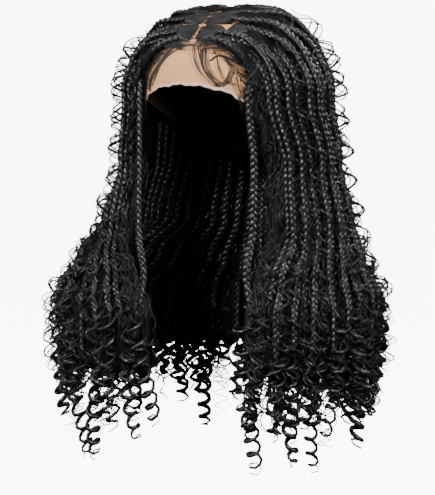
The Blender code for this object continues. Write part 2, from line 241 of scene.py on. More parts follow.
def flow(side, around, down, depth):
    """Points and outward directions at places in the hair.

    Above the widest level a point goes straight in plan from the parting to the widest line
    while its height follows the cap's ellipsoid. Below, it hangs on a level oval whose
    half axes follow the level tables, and moves outwards by its depth.
    """
    around, down, depth = np.broadcast_arrays(
        np.asarray(around, float), np.asarray(down, float), np.asarray(depth, float)
    )
    azimuth = FACE_EDGE + around * (math.pi - FACE_EDGE)
    reach = np.sin(np.clip(down, 0, 1) * math.pi / 2)
    root_y = -CAP_HALF_LENGTH * HAIRLINE_SHARE
    root_y = root_y + around * (PART_BACK - root_y)
    x = PART_HALF_WIDTH + (CAP_HALF_WIDTH * np.sin(azimuth) - PART_HALF_WIDTH) * reach
    y = root_y + (-CAP_HALF_LENGTH * np.cos(azimuth) - root_y) * reach
    flat = 1 - (x / CAP_HALF_WIDTH) ** 2 - (y / CAP_HALF_LENGTH) ** 2
    rise = CAP_HEIGHT * np.sqrt(np.maximum(flat, 0))
    out = np.stack([x / CAP_HALF_WIDTH ** 2, y / CAP_HALF_LENGTH ** 2, rise / CAP_HEIGHT ** 2], -1)
    on_cap = np.stack([x, y, WIDEST + rise], -1) + unit(out) * depth[..., None]

    drop = np.clip(down - 1, 0, None)
    edge = FACE_EDGE * eased(drop, LEVEL_DROP, LEVEL_EDGE[side])
    azimuth = edge + around * (math.pi - edge)
    width = CAP_HALF_WIDTH * eased(drop, LEVEL_DROP, LEVEL_WIDTH[side])
    ahead = np.cos(azimuth) > 0
    length = np.where(ahead, eased(drop, LEVEL_DROP, LEVEL_FRONT), eased(drop, LEVEL_DROP, LEVEL_BACK))
    length = CAP_HALF_LENGTH * length
    hem = HAIR_LENGTH + HEM_WAVE * np.sin(around * 9.0 + 0.6)
    level = np.stack([np.sin(azimuth) / width, -np.cos(azimuth) / length, 0 * width], -1)
    hang = np.stack(
        [width * np.sin(azimuth), -length * np.cos(azimuth), WIDEST - drop * (hem + WIDEST)], -1
    )
    hang = hang + unit(level) * depth[..., None]
    above = (down < 1)[..., None]
    points = np.where(above, on_cap, hang) * (side, 1, 1)
    normals = np.where(above, unit(out), unit(level)) * (side, 1, 1)
    return points, normals


def rim_angle(azimuth):
    """Angle down from the top of the head to the cap's rim: hairline, ears and nape."""
    turn = np.abs((azimuth + math.pi) % (2 * math.pi) - math.pi)
    slope = np.tan(np.minimum(turn, FACE_EDGE))
    fall = HAIRLINE_SHARE - math.cos(FACE_EDGE)
    along = HAIRLINE_SHARE * slope / (math.sin(FACE_EDGE) + fall * slope)
    radius = np.hypot(math.sin(FACE_EDGE) * along, HAIRLINE_SHARE - fall * along)
    front = np.arcsin(np.minimum(radius, 1))
    share = np.clip((turn - FACE_EDGE) / (math.pi - FACE_EDGE), 0, 1)
    back = math.pi / 2 + (NAPE_ANGLE - math.pi / 2) * share * share * (3 - 2 * share)
    return np.where(turn < FACE_EDGE, front, back)


def on_dome(azimuth, angle, inset=0.0):
    """Points on the cap's dome at an angle round from the face and an angle down from the top."""
    height = np.where(angle <= math.pi / 2, CAP_HEIGHT - inset, LOWER_DOME_HEIGHT)
    x = (CAP_HALF_WIDTH - inset) * np.sin(angle) * np.sin(azimuth)
    y = -(CAP_HALF_LENGTH - inset) * np.sin(angle) * np.cos(azimuth)
    return np.stack(np.broadcast_arrays(x, y, WIDEST + height * np.cos(angle)), -1)


# Meshes from arrays


def add_mesh(name, vertices, polygons, uv, tint, materials, slots=None):
    """One object from lists of point arrays and faces, with a UV map and a tint per point."""
    points = np.concatenate([v.reshape(-1, 3) for v in vertices])
    uv = np.concatenate([u.reshape(-1, 2) for u in uv])
    tint = np.concatenate([np.broadcast_to(t, (len(v.reshape(-1, 3)),)) for t, v in zip(tint, vertices)])
    loops = np.concatenate([p.reshape(-1) for p in polygons]).astype(np.int32)
    totals = np.concatenate([np.full(len(p), p.shape[1]) for p in polygons]).astype(np.int32)
    mesh = bpy.data.meshes.new(name)
    mesh.vertices.add(len(points))
    mesh.vertices.foreach_set("co", points.astype(np.float32).reshape(-1))
    mesh.loops.add(len(loops))
    mesh.loops.foreach_set("vertex_index", loops)
    mesh.polygons.add(len(totals))
    starts = np.concatenate([[0], np.cumsum(totals)[:-1]]).astype(np.int32)
    mesh.polygons.foreach_set("loop_start", starts)
    mesh.polygons.foreach_set("use_smooth", np.ones(len(totals), bool))
    if slots is not None:
        mesh.polygons.foreach_set("material_index", np.asarray(slots, np.int32))
    layer = mesh.uv_layers.new(name="UVMap")
    layer.data.foreach_set("uv", uv[loops].astype(np.float32).reshape(-1))
    attribute = mesh.attributes.new("tint", "FLOAT", "POINT")
    attribute.data.foreach_set("value", tint.astype(np.float32))
    mesh.update(calc_edges=True)
    mesh.validate()
    for material in materials:
        mesh.materials.append(material)
    piece = bpy.data.objects.new(name, mesh)
    bpy.context.scene.collection.objects.link(piece)
    return piece


class Strands:
    """Gathers tubes swept along paths, all for one mesh."""

    def __init__(self):
        """Starts with no strands."""
        self.vertices = []
        self.polygons = []
        self.uv = []
        self.tint = []
        self.count = 0

    def add(self, paths, normals, radius, sides=3, flatten=1.0, tint=0.5):
        """Tubes round paths (strand, step, xyz): rings of points at a radius, square to the path.

        A ring is radius * (cos a * out * flatten + sin a * across), where out is the outward
        direction made square to the path, and the two ends are closed by flat faces.
        """
        tangent = unit(np.gradient(paths, axis=1))
        out = unit(normals - (normals * tangent).sum(-1, keepdims=True) * tangent)
        across = np.cross(tangent, out)
        count, steps = paths.shape[:2]
        angle = 2 * math.pi * (np.arange(sides) + 0.5) / sides
        radius = np.broadcast_to(radius, (count, steps))[..., None, None]
        ring = (
            np.cos(angle)[:, None] * out[:, :, None] * flatten
            + np.sin(angle)[:, None] * across[:, :, None]
        )
        points = paths[:, :, None] + ring * radius
        self.vertices.append(points)
        index = self.count + np.arange(count * steps * sides).reshape(count, steps, sides)
        after = np.roll(index, -1, axis=2)
        quads = np.stack([index[:, :-1], after[:, :-1], after[:, 1:], index[:, 1:]], -1)
        self.polygons.append(quads.reshape(-1, 4))
        self.polygons.append(index[:, 0, ::-1])
        self.polygons.append(index[:, -1])
        length = np.cumsum(np.linalg.norm(np.diff(paths, axis=1, prepend=paths[:, :1]), axis=-1), axis=1)
        across_share = np.broadcast_to(np.abs(np.arange(sides) * 2 / sides - 1), points.shape[:3])
        along = np.broadcast_to(length[..., None], points.shape[:3])
        self.uv.append(np.stack([across_share, along], -1))
        tint = np.broadcast_to(np.asarray(tint, float).reshape(-1, 1, 1), points.shape[:3])
        self.tint.append(tint.reshape(-1))
        self.count += count * steps * sides

    def build(self, name, material):
        """The gathered tubes as one object."""
        return add_mesh(name, self.vertices, self.polygons, self.uv, self.tint, [material])


def add_shell(name, outer, inner, materials, closed, tint=0.5):
    """A closed wall between an outer and an inner grid of points, rows by columns."""
    rows, columns = outer.shape[:2]
    index = np.arange(rows * columns).reshape(rows, columns)
    across = np.roll(index, -1, axis=1) if closed else None
    left = index if closed else index[:, :-1]
    right = across if closed else index[:, 1:]
    skin = np.stack([left[:-1], left[1:], right[1:], right[:-1]], -1).reshape(-1, 4)
    total = rows * columns
    under = skin[:, ::-1] + total
    rims = []
    for row, turn in ((0, 1), (-1, -1)):
        rim = np.stack([left[row], right[row], right[row] + total, left[row] + total], -1)
        rims.append(rim[:, ::turn])
    if not closed:
        for column, turn in ((0, -1), (-1, 1)):
            line = index[:, column]
            rim = np.stack([line[:-1], line[1:], line[1:] + total, line[:-1] + total], -1)
            rims.append(rim[:, ::turn])
    rim = np.concatenate(rims)
    row_share, column_share = np.meshgrid(np.linspace(0, 1, rows), np.linspace(0, 1, columns), indexing="ij")
    uv = np.stack([column_share, row_share], -1)
    inside = np.full(len(under), len(materials) - 1)
    slots = np.concatenate([np.zeros(len(skin)), inside, np.zeros(len(rim))])
    return add_mesh(
        name, [outer, inner], [np.concatenate([skin, under, rim])], [uv, uv], [tint, tint], materials, slots
    )


# Strand shapes


def plait_paths(centre, out, half_width, steps_per_turn):
    """Three strands of a plait round a centre line (step, xyz), resampled evenly.

    A strand is the centre line moved sideways by sin t, hurried through the middle, and
    outwards by sin 2t, where t grows by one turn for each plait length. The three strands are
    a third of a turn apart, and each swells by |sin 2t| where it lies on top.
    """
    turn_length = settings().plait_length
    length = np.concatenate([[0], np.cumsum(np.linalg.norm(np.diff(centre, axis=0), axis=1))])
    steps = max(int(length[-1] / turn_length * steps_per_turn), 8)
    along = np.linspace(0, length[-1], steps)
    line = np.stack([np.interp(along, length, centre[:, i]) for i in range(3)], -1)
    face = unit(np.stack([np.interp(along, length, out[:, i]) for i in range(3)], -1))
    tangent = unit(np.gradient(line, axis=0))
    face = unit(face - (face * tangent).sum(-1, keepdims=True) * tangent)
    across = np.cross(tangent, face)
    width = np.interp(along, length, half_width)
    turn = 2 * math.pi * (along[None] / turn_length + np.arange(3)[:, None] / 3)
    swing = np.sin(turn)
    swing = np.sign(swing) * np.abs(swing) ** 0.7
    sideways = across * (swing * 0.50 * width)[..., None]
    outwards = face * (np.sin(2 * turn) * 0.36 * width)[..., None]
    swell = width * (0.36 + 0.22 * np.abs(np.sin(2 * turn)) ** 0.8)
    return line + sideways + outwards, np.broadcast_to(face, (3, steps, 3)), swell


def curl_paths(
    side, around, start, end, depth, radius, pitch, phase, steps, hand, sway, tighten, stand_off, tilt
):
    """Strands that spiral round the hair's flow lines.

    Each strand is its flow line plus radius * (cos t * out + sin t * across), where t grows by
    one turn for each pitch along the line. The radius opens from nothing at the root, and both
    the radius and the pitch lose the share called tighten by the tip, the pitch a little more
    over the last turn. Each turn is rocked along the line by tilt * radius * cos t, the line
    sways by slow waves round the head and outwards, and it stands off by a fixed distance.
    """
    share = np.linspace(0, 1, steps)[None]
    down = start[:, None] + (end - start)[:, None] * share
    around = around[:, None] + sway * np.sin(down * 4.5 + phase[:, None]) * np.clip(down - 0.8, 0, 1)
    top = hair_depth(np.maximum(around, 0), down)
    lean = 0.3 * sway * np.sin(down * 9 + 2.4 * phase[:, None]) * np.clip(share * 2, 0, 1)
    lift = dome_lift(around, down) + lean + stand_off
    line, out = flow(side, around, down, UNDER_HAIR + top * depth[:, None] + lift)
    step = np.linalg.norm(np.diff(line, axis=1, prepend=line[:, :1]), axis=-1)
    close = 1 - tighten * share
    step = step * (1 + 2 * tighten * np.clip((share - 0.93) / 0.07, 0, 1))
    turn = 2 * math.pi * np.cumsum(step / close, axis=1) / pitch[:, None] * hand + phase[:, None]
    tangent = unit(np.gradient(line, axis=1))
    across = unit(np.cross(tangent, out))
    out = np.cross(across, tangent)
    open_up = radius[:, None] * np.clip(share * 8, 0, 1) * close
    swing = np.cos(turn)[..., None] * out + np.sin(turn)[..., None] * across
    rock = tangent * (tilt * open_up * np.cos(turn))[..., None]
    return line + swing * open_up[..., None] + rock, swing


def wave_paths(side, around, start, end, depth, wide, pitch, rng, steps):
    """Loose strands: a flow line plus two waves of different length, across and outwards.

    The waves are wide * sin(t) across and 0.6 * wide * sin(1.37 t) outwards, with t growing by
    one turn for each pitch down the line, and both open from nothing at the root.
    """
    share = np.linspace(0, 1, steps)[None]
    down = start[:, None] + (end - start)[:, None] * share
    bends = rng.uniform(3, 7, (len(start), 1))
    around = around[:, None] + 0.012 * np.sin(down * bends + around[:, None] * 99)
    top = hair_depth(np.maximum(around, 0), down)
    line, out = flow(side, around, down, UNDER_HAIR + top * depth[:, None] + dome_lift(around, down))
    step = np.linalg.norm(np.diff(line, axis=1, prepend=line[:, :1]), axis=-1)
    turn = 2 * math.pi * np.cumsum(step, axis=1) / pitch[:, None]
    first, second = rng.uniform(0, 2 * math.pi, (2, len(start), 1))
    across = np.cross(unit(np.gradient(line, axis=1)), out)
    reach = wide[:, None] * np.clip(share * 6, 0, 1)
    shift = across * (reach * np.sin(turn + first))[..., None]
    shift = shift + out * (reach * 0.6 * np.sin(turn * 1.37 + second))[..., None]
    return line + shift, out


def smooth_curve(at, keys, values):
    """Value on a smooth curve through keyed values one apart, by cubics with mean slopes."""
    slope = np.gradient(values, keys)
    low = np.clip(np.floor(at).astype(int), 0, len(keys) - 2)
    t = at - low
    rise = values[low] + (values[low + 1] - values[low]) * (3 - 2 * t) * t * t
    return rise + slope[low] * (t**3 - 2 * t**2 + t) + slope[low + 1] * (t**3 - t**2)


# Materials


def node_input(tree, target, socket, source, output=0):
    """Joins an output to an input."""
    tree.links.new(source.outputs[output], target.inputs[socket])


def hair_material(name, across, along, bump, duller=0.0, shine=0.5, shade=1.0):
    """Black hair: fibres from noise stretched along the strand, in the UV map.

    across is how many fibres lie over the width of the UV map, and along how many changes
    there are per unit of its length. The tint of each strand moves the noise. The ridges of the
    fibres are paler and duller than the grooves. shade scales the whole colour down as painted
    shade, giving darkened copies for the falls behind the strands and the boxes on the lit top.
    """
    options = settings()
    material = bpy.data.materials.new(name)
    material.use_nodes = True
    tree = material.node_tree
    surface = tree.nodes["Principled BSDF"]
    surface.inputs["Specular IOR Level"].default_value = shine
    place = tree.nodes.new("ShaderNodeUVMap")
    place.uv_map = "UVMap"
    tint = tree.nodes.new("ShaderNodeAttribute")
    tint.attribute_name = "tint"
    shift = tree.nodes.new("ShaderNodeVectorMath")
    shift.operation = "SCALE"
    shift.inputs[0].default_value = (37.0, 11.0, 23.0)
    node_input(tree, shift, "Scale", tint, 2)
    stretch = tree.nodes.new("ShaderNodeMapping")
    stretch.inputs["Scale"].default_value = (across, along, 1)
    node_input(tree, stretch, "Vector", place)
    node_input(tree, stretch, "Location", shift)
    fibres = tree.nodes.new("ShaderNodeTexNoise")
    fibres.inputs["Scale"].default_value = 1.0
    fibres.inputs["Detail"].default_value = 3.0
    node_input(tree, fibres, "Vector", stretch)
    ramp = tree.nodes.new("ShaderNodeValToRGB")
    ramp.color_ramp.elements[0].position = 0.40
    # The colour is scaled by shade, which darkens it as painted shade for the falls and the boxes.
    ramp.color_ramp.elements[0].color = (*(np.array(options.hair_colour) * 0.3 * shade), 1)
    ramp.color_ramp.elements[1].position = 0.75
    ramp.color_ramp.elements[1].color = (*(np.array(options.hair_colour) * 3.0 * shade), 1)
    node_input(tree, ramp, "Fac", fibres)
    node_input(tree, surface, "Base Color", ramp)
    dull = tree.nodes.new("ShaderNodeMapRange")
    dull.inputs["To Min"].default_value = options.hair_roughness + duller - 0.12
    dull.inputs["To Max"].default_value = options.hair_roughness + duller + 0.28
    node_input(tree, dull, "Value", fibres)
    node_input(tree, surface, "Roughness", dull)
    relief = tree.nodes.new("ShaderNodeBump")
    relief.inputs["Strength"].default_value = bump
    relief.inputs["Distance"].default_value = 0.0006
    node_input(tree, relief, "Height", fibres)
    node_input(tree, surface, "Normal", relief)
    return material


def net_material(name, colour, mesh_size, knots, cover=1.0, pale_edge=False):
    """Lace or net: threads round small cells in object space, darker in the holes.

    With a pale edge the UV map's length runs from a shade of hair roots to a whitish border.
    """
    material = bpy.data.materials.new(name)
    material.use_nodes = True
    tree = material.node_tree
    surface = tree.nodes["Principled BSDF"]
    surface.inputs["Roughness"].default_value = 0.7
    surface.inputs["Alpha"].default_value = cover
    place = tree.nodes.new("ShaderNodeTexCoord")
    cells = tree.nodes.new("ShaderNodeTexVoronoi")
    cells.feature = "DISTANCE_TO_EDGE"
    cells.inputs["Scale"].default_value = 1 / mesh_size
    node_input(tree, cells, "Vector", place, 3)
    ramp = tree.nodes.new("ShaderNodeValToRGB")
    ramp.color_ramp.elements[0].position = 0.05
    ramp.color_ramp.elements[0].color = (*colour, 1)
    ramp.color_ramp.elements[1].position = 0.30
    ramp.color_ramp.elements[1].color = (*(np.array(colour) * knots), 1)
    node_input(tree, ramp, "Fac", cells)
    cloud = tree.nodes.new("ShaderNodeTexNoise")
    cloud.inputs["Scale"].default_value = 45.0
    node_input(tree, cloud, "Vector", place, 3)
    soft = tree.nodes.new("ShaderNodeMapRange")
    soft.inputs["To Min"].default_value = 0.72
    soft.inputs["To Max"].default_value = 1.15
    node_input(tree, soft, "Value", cloud)
    blend = tree.nodes.new("ShaderNodeMix")
    blend.data_type = "RGBA"
    blend.blend_type = "MULTIPLY"
    blend.inputs["Factor"].default_value = 1.0
    node_input(tree, blend, 6, ramp)
    node_input(tree, blend, 7, soft)
    shade = blend
    if pale_edge:
        soft.inputs["To Max"].default_value = 1.05
        border = tree.nodes.new("ShaderNodeUVMap")
        border.uv_map = "UVMap"
        parts = tree.nodes.new("ShaderNodeSeparateXYZ")
        node_input(tree, parts, "Vector", border)
        fade = tree.nodes.new("ShaderNodeMapRange")
        fade.inputs["From Min"].default_value = 0.93
        fade.inputs["From Max"].default_value = 0.97
        fade.inputs["To Max"].default_value = 0.55
        node_input(tree, fade, "Value", parts, 1)
        shade = tree.nodes.new("ShaderNodeMix")
        shade.data_type = "RGBA"
        shade.inputs[7].default_value = (0.80, 0.74, 0.70, 1)
        node_input(tree, shade, "Factor", fade)
        roots = tree.nodes.new("ShaderNodeMapRange")
        roots.inputs["From Max"].default_value = 0.32
        roots.inputs["To Min"].default_value = 0.55
        roots.inputs["To Max"].default_value = 1.0
        node_input(tree, roots, "Value", parts, 1)
        knot_shade = tree.nodes.new("ShaderNodeMix")
        knot_shade.data_type = "RGBA"
        knot_shade.blend_type = "MULTIPLY"
        knot_shade.inputs["Factor"].default_value = 1.0
        node_input(tree, knot_shade, 6, blend, 2)
        node_input(tree, knot_shade, 7, roots)
        node_input(tree, shade, 6, knot_shade, 2)
    node_input(tree, surface, "Base Color", shade, 2)
    relief = tree.nodes.new("ShaderNodeBump")
    relief.inputs["Strength"].default_value = 0.4
    relief.inputs["Distance"].default_value = 0.0002
    relief.invert = True
    node_input(tree, relief, "Height", cells)
    node_input(tree, surface, "Normal", relief)
    return material


def shared_material(name):
    """A material made once and used by several pieces."""
    options = settings()
    if name in bpy.data.materials:
        return bpy.data.materials[name]
    if name in HAIR_FINISHES:
        return hair_material(name, **HAIR_FINISHES[name])
    if name == "scalp net":
        return net_material(name, tuple(options.scalp_colour), mesh_size=0.0014, knots=0.72)
    if name == "cap lining net":
        return net_material(name, tuple(options.cap_colour), mesh_size=0.0022, knots=0.35)
    colour = tuple(options.lace_colour)
    return net_material(name, colour, mesh_size=0.0011, knots=0.9, cover=options.lace_cover, pale_edge=True)


def finish_piece(piece, slot, *nodes):
    """Ties a piece to the frame's one body and hides the model's nodes it stands for. slot is not used."""
    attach(piece, "root")
    if nodes:
        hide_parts(*nodes)
    return piece


# The cap and the lace


def build_cap():
    """The net cap: scalp-coloured lace outside, brown net inside."""
    share = np.linspace(0, 1, 30)[:, None]
    azimuth = np.linspace(-math.pi, math.pi, 96, endpoint=False)[None]
    angle = rim_angle(azimuth) * share
    outer = on_dome(azimuth, angle)
    inner = on_dome(azimuth, angle, CAP_WALL)
    materials = [shared_material("scalp net"), shared_material("cap lining net")]
    piece = add_shell("cap_dome", outer, inner, materials, closed=True)
    crown = bmesh.new()
    crown.from_mesh(piece.data)
    bmesh.ops.remove_doubles(crown, verts=crown.verts, dist=0.00002)
    crown.to_mesh(piece.data)
    crown.free()
    finish_piece(piece, "cap_net", "lace_cap")


def build_lace():
    """The sheer border: the dome's surface from under the hairline to a slightly wavy cut edge."""
    turn = np.linspace(-1, 1, 90)[None]
    down = np.linspace(0, 1, 26)[:, None]
    azimuth = FACE_EDGE * turn
    top = rim_angle(azimuth)
    bottom = LACE_FRONT_ANGLE + (LACE_TEMPLE_ANGLE - LACE_FRONT_ANGLE) * turn**2
    bottom = bottom + 0.008 * np.sin(turn * 17) + 0.005 * np.sin(turn * 41)
    angle = top + (bottom - top) * down
    outer = on_dome(azimuth, angle, 0.0001)
    inner = on_dome(azimuth, angle, 0.0004)
    piece = add_shell("lace_border", outer, inner, [shared_material("sheer lace")], closed=False)
    finish_piece(piece, "sheer_lace", "lace_front")


def build_baby_hairs():
    """Fine laid hairs on the lace: smooth curves through a few points, fanned out at the root."""
    rng = np.random.default_rng(5)
    strands = Strands()
    for count, spread, points in BABY_HAIRS:
        points = np.array(points, float)
        fan = rng.normal(0, 1, (count, 1)) * np.linspace(1.0, 0.25, len(points))
        x = points[:, 0] + fan * spread * 0.5 + rng.normal(0, 0.4, (count, len(points)))
        z = points[:, 1] + fan * spread * 0.12 + rng.normal(0, 0.4, (count, len(points)))
        at = np.linspace(0, len(points) - 1, 32)
        keys = np.arange(len(points))
        x = np.stack([smooth_curve(at, keys, row) for row in x]) / 1000
        z = np.stack([smooth_curve(at, keys, row) for row in z]) / 1000
        level = 1 - (np.maximum(z - WIDEST, 0) / CAP_HEIGHT) ** 2
        y = -CAP_HALF_LENGTH * np.sqrt(np.clip(level - (x / CAP_HALF_WIDTH) ** 2, 0.02, 1))
        paths = np.stack([x, y, z], -1)
        out = unit(np.stack([x / CAP_HALF_WIDTH**2, y / CAP_HALF_LENGTH**2, 0 * x], -1))
        radius = LACE_HAIR * np.linspace(1, 0.6, 32) * rng.uniform(0.7, 1.2, (count, 1))
        strands.add(paths + out * 0.0004, out, radius, tint=rng.random(count))
    finish_piece(strands.build("baby_hairs", shared_material("hair strands")), "black_hair")


# The hair on the cap


def boxes():
    """Every box of smooth hair on one side: first and last share down, and its two sides."""
    for first, last, edges in BOX_ROWS:
        for start, end in zip(edges, edges[1:]):
            yield first, last, start, end


def box_around(box, p, share):
    """How far round a place in a box is, as the box narrows a little towards its braid."""
    start, end = box[2:]
    return (start + end) / 2 + (end - start) / 2 * BOX_SHARE * p * (1 - 0.28 * share**3)


def box_point(side, box, p, q, lift):
    """Point on the smooth hair of one box, p across from -1 to 1 and q down from 0 to 1.

    The box is a pillow: its height is sqrt(1 - p^4) times a rise towards the root of the braid.
    """
    first, last = box[:2]
    share = np.clip(q, 0, 1)
    around = box_around(box, p, share)
    height = np.sqrt(np.clip(1 - p**4, 0, 1)) * (0.0005 + 0.0036 * eased(share, (0, 0.85, 1), (0, 1, 0.8)))
    return flow(side, np.clip(around, -0.02, 1), first + (last - first) * q, 0.0003 + height + lift)


def box_strands(rng, side, box, p_first, q_first, steps=8):
    """Strands from places on a box's border that draw together at the root of its braid."""
    share = np.linspace(0, 1, steps)
    p_last = p_first * rng.uniform(0.1, 0.4, len(p_first))
    q_last = rng.uniform(0.80, 1.0, len(p_first))
    p = p_first[:, None] + (p_last - p_first)[:, None] * share**0.8
    q = q_first[:, None] + (q_last - q_first)[:, None] * share
    return box_point(side, box, p, q, 0.0002)


def side_strands(rng, side, box, count, jitter, edge, reach):
    """Strands from just outside both sides of a box, spaced along it with some jitter."""
    along = (np.arange(count) + rng.uniform(0.5 - jitter, 0.5 + jitter, count)) / count
    edges = np.concatenate([np.full(count, -edge), np.full(count, edge)])
    return box_strands(rng, side, box, edges, np.concatenate([along, along]) * reach)


def build_boxes():
    """Flat hair between the partings, drawn from each box's border into the root of its braid."""
    rng = np.random.default_rng(8)
    p = np.linspace(-1, 1, 17)[None]
    q = np.linspace(0, 1, 16)[:, None]
    for side, side_name in SIDES.items():
        strands = Strands()
        walls = []
        for box in boxes():
            outer = box_point(side, box, p, q, 0.0)[0]
            inner = flow(side, box_around(box, p, q), box[0] + (box[1] - box[0]) * q, 0.0001)[0]
            if side < 0:
                outer, inner = outer[:, ::-1], inner[:, ::-1]
            walls.append((outer, inner))
            paths, out = side_strands(rng, side, box, 22, jitter=0.3, edge=1.17, reach=0.8)
            strands.add(paths, out, BOX_HAIR, tint=rng.random(44))
            paths, out = side_strands(rng, side, box, 11, jitter=0.2, edge=1.12, reach=0.85)
            thick = COMB_STROKE * np.linspace(0.7, 1, 8)
            strands.add(paths, out, thick, sides=4, tint=rng.random(22))
            spread = np.linspace(-0.95, 0.95, 20) + rng.normal(0, 0.03, 20)
            paths, out = box_strands(rng, side, box, spread, np.full(20, -0.05))
            if box[0] == BOX_ROWS[0][0]:
                paths[::2, 0, 0] *= rng.uniform(0.2, 0.45, 10)
            thick = np.where(np.arange(20) % 2 == 0, COMB_STROKE, THIN_STROKE)[:, None]
            strands.add(paths, out, thick, sides=4, tint=rng.random(20))
        piece = join_walls(f"box_hair_{side_name}", walls, shared_material("hair boxes"))
        finish_piece(piece, "black_hair")
        finish_piece(strands.build(f"box_strands_{side_name}", shared_material("hair strands")), "black_hair")


def join_walls(name, walls, material):
    """Several closed walls, each an outer and an inner grid of points, in one object."""
    vertices, polygons, uv = [], [], []
    count = 0
    for outer, inner in walls:
        rows, columns = outer.shape[:2]
        total = rows * columns
        index = np.arange(total).reshape(rows, columns)
        skin = np.stack([index[:-1, :-1], index[1:, :-1], index[1:, 1:], index[:-1, 1:]], -1).reshape(-1, 4)
        rims = []
        for line, turn in ((index[0], 1), (index[-1], -1), (index[:, 0], -1), (index[:, -1], 1)):
            rims.append(np.stack([line[:-1], line[1:], line[1:] + total, line[:-1] + total], -1)[:, ::turn])
        vertices += [outer, inner]
        polygons.append(np.concatenate([skin, skin[:, ::-1] + total, *rims]) + count)
        share = np.stack(np.meshgrid(np.linspace(0, 1, columns), np.linspace(0, 1, rows)), -1)
        uv += [share, share]
        count += 2 * total
    return add_mesh(name, vertices, polygons, uv, [0.5] * len(vertices), [material])


def build_hairline():
    """Fine hairs that rise from the lace and lie back over the front hair."""
    for side, side_name in SIDES.items():
        rng = np.random.default_rng(11 + side)
        strands = Strands()
        count = 400
        share = np.linspace(0, 1, 8)
        first = rng.uniform(0.0, 1.05, count)[:, None]
        down = first + rng.uniform(0.06, 0.30, count)[:, None] * share
        start = 0.006 - 0.070 * rng.random(count)[:, None] ** 2.6
        reach = rng.uniform(0.02, 0.08, count)[:, None]
        around = start + reach * share**1.2
        depth = 0.0004 + share**1.5 * (0.6 * hair_depth(np.maximum(around, 0), down) + 0.002)
        paths, out = flow(side, around, down, depth)
        strands.add(paths, out, HAIRLINE_HAIR, tint=rng.random(count))
        finish_piece(strands.build(f"hairline_{side_name}", shared_material("hair strands")), "black_hair")


def part_groups():
    """The six parts of the hair: side, side's name, fall's name, first and last share round."""
    for side, side_name in SIDES.items():
        for fall, (start, end) in FALLS.items():
            yield side, side_name, fall, start, end


def build_mass():
    """Six dark falls of hair behind the strands, darker than the strands as painted shade, with wavy faces
    and a ragged hem.
    """
    rng = np.random.default_rng(3)
    rows, columns = 50, 36
    for side, side_name, fall, start, end in part_groups():
        share = np.linspace(0, 1, rows)[:, None]
        around = np.linspace(start, end, columns)[None]
        ragged = 1.96 + 0.018 * np.sin(around * 150 + side) + 0.012 * np.sin(around * 331)
        top = eased(around, (0.26, 0.46), (0.32, 0.02))
        down = top + (ragged - top) * share
        wave = np.sin(around * 170 + 3 * np.sin(down * 9 + side)) * np.sin(down * 34 + around * 60)
        wave = wave + 0.6 * np.sin(around * 95 + down * 21)
        thick = hair_depth(around, down) * 0.74 + dome_lift(around, down) * 0.8
        thick = thick * eased(down - top, (0, 0.12), (0.3, 1))
        outer = flow(side, around, down, UNDER_HAIR + thick + wave * 0.0016 * np.clip(down, 0.3, 1))[0]
        inner = flow(side, around, down, UNDER_HAIR + wave * 0.0008 * np.clip(down - 1, 0, 1))[0]
        if side < 0:
            outer, inner = outer[:, ::-1], inner[:, ::-1]
        name = f"hair_mass_{fall}_{side_name}"
        piece = add_shell(name, outer, inner, [shared_material("hair mass")], closed=False, tint=rng.random())
        finish_piece(piece, "black_hair", f"hair_{fall}_{side_name}")


# Braids and curls


def add_braid(strands, rng, side, around, start, end, depth, sides=5):
    """One plait on a flow line, thinner at its root and its end, with its own slight wander.

    around gives the share round the head at each share down.
    """
    down = np.linspace(start, end, 120)
    wander = rng.uniform(0.003, 0.009) * np.sin(down * 5 + rng.uniform(0, 6))
    place = around(down) + wander * np.clip(down - 0.5, 0, 1)
    half = settings().braid_width / 2 * eased(down, (0.2, 0.5, 1.0, 1.4, 2.0), (0.70, 0.86, 0.96, 1.0, 0.80))
    half = half * np.clip((end - down) / 0.05, 0.35, 1)
    top = hair_depth(np.maximum(place, 0), down) * depth
    rise = top + dome_lift(place, down) * depth**2 + half * 0.6
    rise = rise * eased(down, (start, start + 0.30), (0.35, 1))
    line, out = flow(side, place, down, UNDER_HAIR + rise)
    paths, face, swell = plait_paths(line, out, half, 7)
    strands.add(paths, face, swell, sides=sides, flatten=0.9, tint=rng.random(3))


def braid_course(lock):
    """Where a lock's braid starts down, and how far round it is at each share down.

    It leaves the middle of its box and settles on the middle of its lock. The first one hangs
    free beside the face.
    """
    root, row, box = BRAID_ROOTS[lock]
    if lock == 1:
        return root, lambda down: eased(down, FREE_DOWN, FREE_AROUND)
    place = float(lock_around(lock))
    leave = place
    if row != NO_BOX:
        edges = BOX_ROWS[row][2]
        leave = (edges[box] + edges[box + 1]) / 2
    return root, lambda down: leave + (place - leave) * eased(down, (root, root + 0.55), (0, 1))


def build_braids():
    """Outer braids down the middle of every lock, deeper ones between, and one by the face."""
    for number, (side, side_name, fall, *_) in enumerate(part_groups()):
        rng = np.random.default_rng(100 + number)
        strands = Strands()
        first = {"front": 1, "side": 7, "back": 13}[fall]
        for lock in range(first, first + 6):
            root, around = braid_course(lock)
            depth = 0.9 if BRAID_ROOTS[lock][1] == NO_BOX else 1.0
            if lock == 1:
                depth = 0.25
            add_braid(strands, rng, side, around, root, rng.uniform(1.72, 1.97), depth)
        for lock in (first + 0.6, first + 2.5, first + 4.4):
            place = float(lock_around(lock))
            root, tip = rng.uniform(0.5, 0.7), rng.uniform(1.5, 1.9)
            add_braid(strands, rng, side, lambda down: np.full(down.shape, place), root, tip, 0.80, sides=4)
        nodes = [f"braid_{side_name}_{lock:02d}" for lock in BRAID_NODES[fall]]
        if fall == "front":
            nodes.append(f"front_braid_{side_name}")
        piece = strands.build(f"braids_{fall}_{side_name}", shared_material("hair strands"))
        finish_piece(piece, "black_hair", *nodes)


